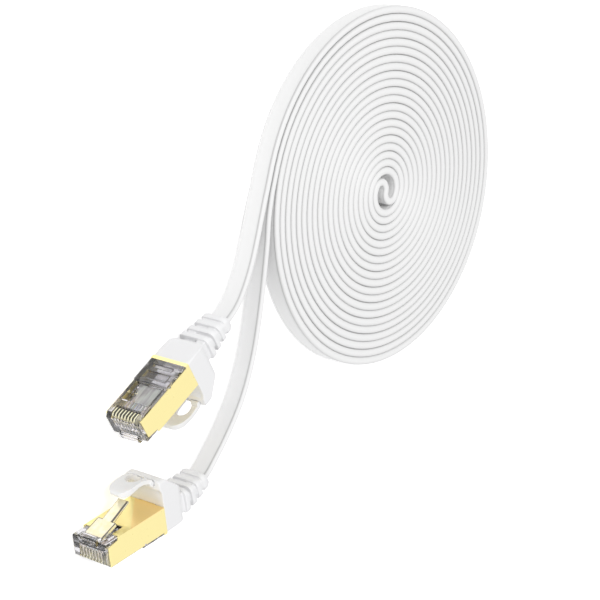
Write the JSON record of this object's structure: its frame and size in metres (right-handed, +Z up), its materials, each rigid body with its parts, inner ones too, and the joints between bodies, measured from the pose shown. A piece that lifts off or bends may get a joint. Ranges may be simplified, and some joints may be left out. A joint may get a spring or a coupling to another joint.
{
  "type": "ethernet patch cable",
  "caption": "Flat ethernet patch cable wound on edge in a flat double coil, with a shielded modular plug, boot and bowed latch guard at each end.",
  "frame": {"origin": "centre of the coil, on the surface that the cable lies on", "axes": "+Z up, away from that surface; +X from the coil's centre away from the side where both ends leave it; the plugs lie beyond the coil towards -X and -Y"},
  "size_m": [0.1523, 0.1416, 0.0117],
  "materials": {
    "jacket": "satin",
    "housing": "gloss",
    "latch": "gloss",
    "load_bar": "gloss",
    "contacts": "polished",
    "shield": "satin",
    "wire_orange": "satin",
    "wire_green": "satin",
    "wire_blue": "satin",
    "wire_brown": "satin",
    "foil": "polished",
    "inner_mould": "matt",
    "boot": "satin",
    "latch_guard": "satin"
  },
  "bodies": {
    "cable_assembly": {"cable_coil": "jacket", "cable_tail_a": "jacket", "cable_tail_b": "jacket", "plug_a_housing": "housing", "plug_a_contacts": "contacts", "plug_a_load_bar": "load_bar", "plug_a_shield": "shield", "plug_a_wires_orange": "wire_orange", "plug_a_wires_green": "wire_green", "plug_a_wires_blue": "wire_blue", "plug_a_wires_brown": "wire_brown", "plug_a_pair_foils": "foil", "plug_a_jacket_end": "jacket", "plug_a_inner_mould": "inner_mould", "plug_a_boot": "boot", "plug_b_housing": "housing", "plug_b_contacts": "contacts", "plug_b_load_bar": "load_bar", "plug_b_shield": "shield", "plug_b_wires_orange": "wire_orange", "plug_b_wires_green": "wire_green", "plug_b_wires_blue": "wire_blue", "plug_b_wires_brown": "wire_brown", "plug_b_pair_foils": "foil", "plug_b_jacket_end": "jacket", "plug_b_inner_mould": "inner_mould", "plug_b_boot": "boot"},
    "latch_a": {"plug_a_latch": "latch"},
    "guard_a": {"plug_a_latch_guard": "latch_guard"},
    "latch_b": {"plug_b_latch": "latch"},
    "guard_b": {"plug_b_latch_guard": "latch_guard"}
  },
  "joints": [
    {"name": "latch_a_press", "type": "hinge", "parent": "cable_assembly", "child": "latch_a", "pos_m": [-0.09045, -0.06004, 0.00584], "axis": [0, 0, 1], "range_deg": [0, 10]},
    {"name": "guard_a_press", "type": "hinge", "parent": "cable_assembly", "child": "guard_a", "pos_m": [-0.07253, -0.05367, 0.00584], "axis": [0, 0, -1], "range_deg": [0, 28], "stiffness_Nm_per_rad": 0.02},
    {"name": "latch_b_press", "type": "hinge", "parent": "cable_assembly", "child": "latch_b", "pos_m": [-0.10075, -0.08505, 0.00584], "axis": [0, 0, -1], "range_deg": [0, 10]},
    {"name": "guard_b_press", "type": "hinge", "parent": "cable_assembly", "child": "guard_b", "pos_m": [-0.08638, -0.07259, 0.00584], "axis": [0, 0, 1], "range_deg": [0, 28], "stiffness_Nm_per_rad": 0.02}
  ],
  "couplings": [
    {"joint": "latch_a_press", "follows": "guard_a_press", "ratio": 0.357},
    {"joint": "latch_b_press", "follows": "guard_b_press", "ratio": 0.357}
  ]
}
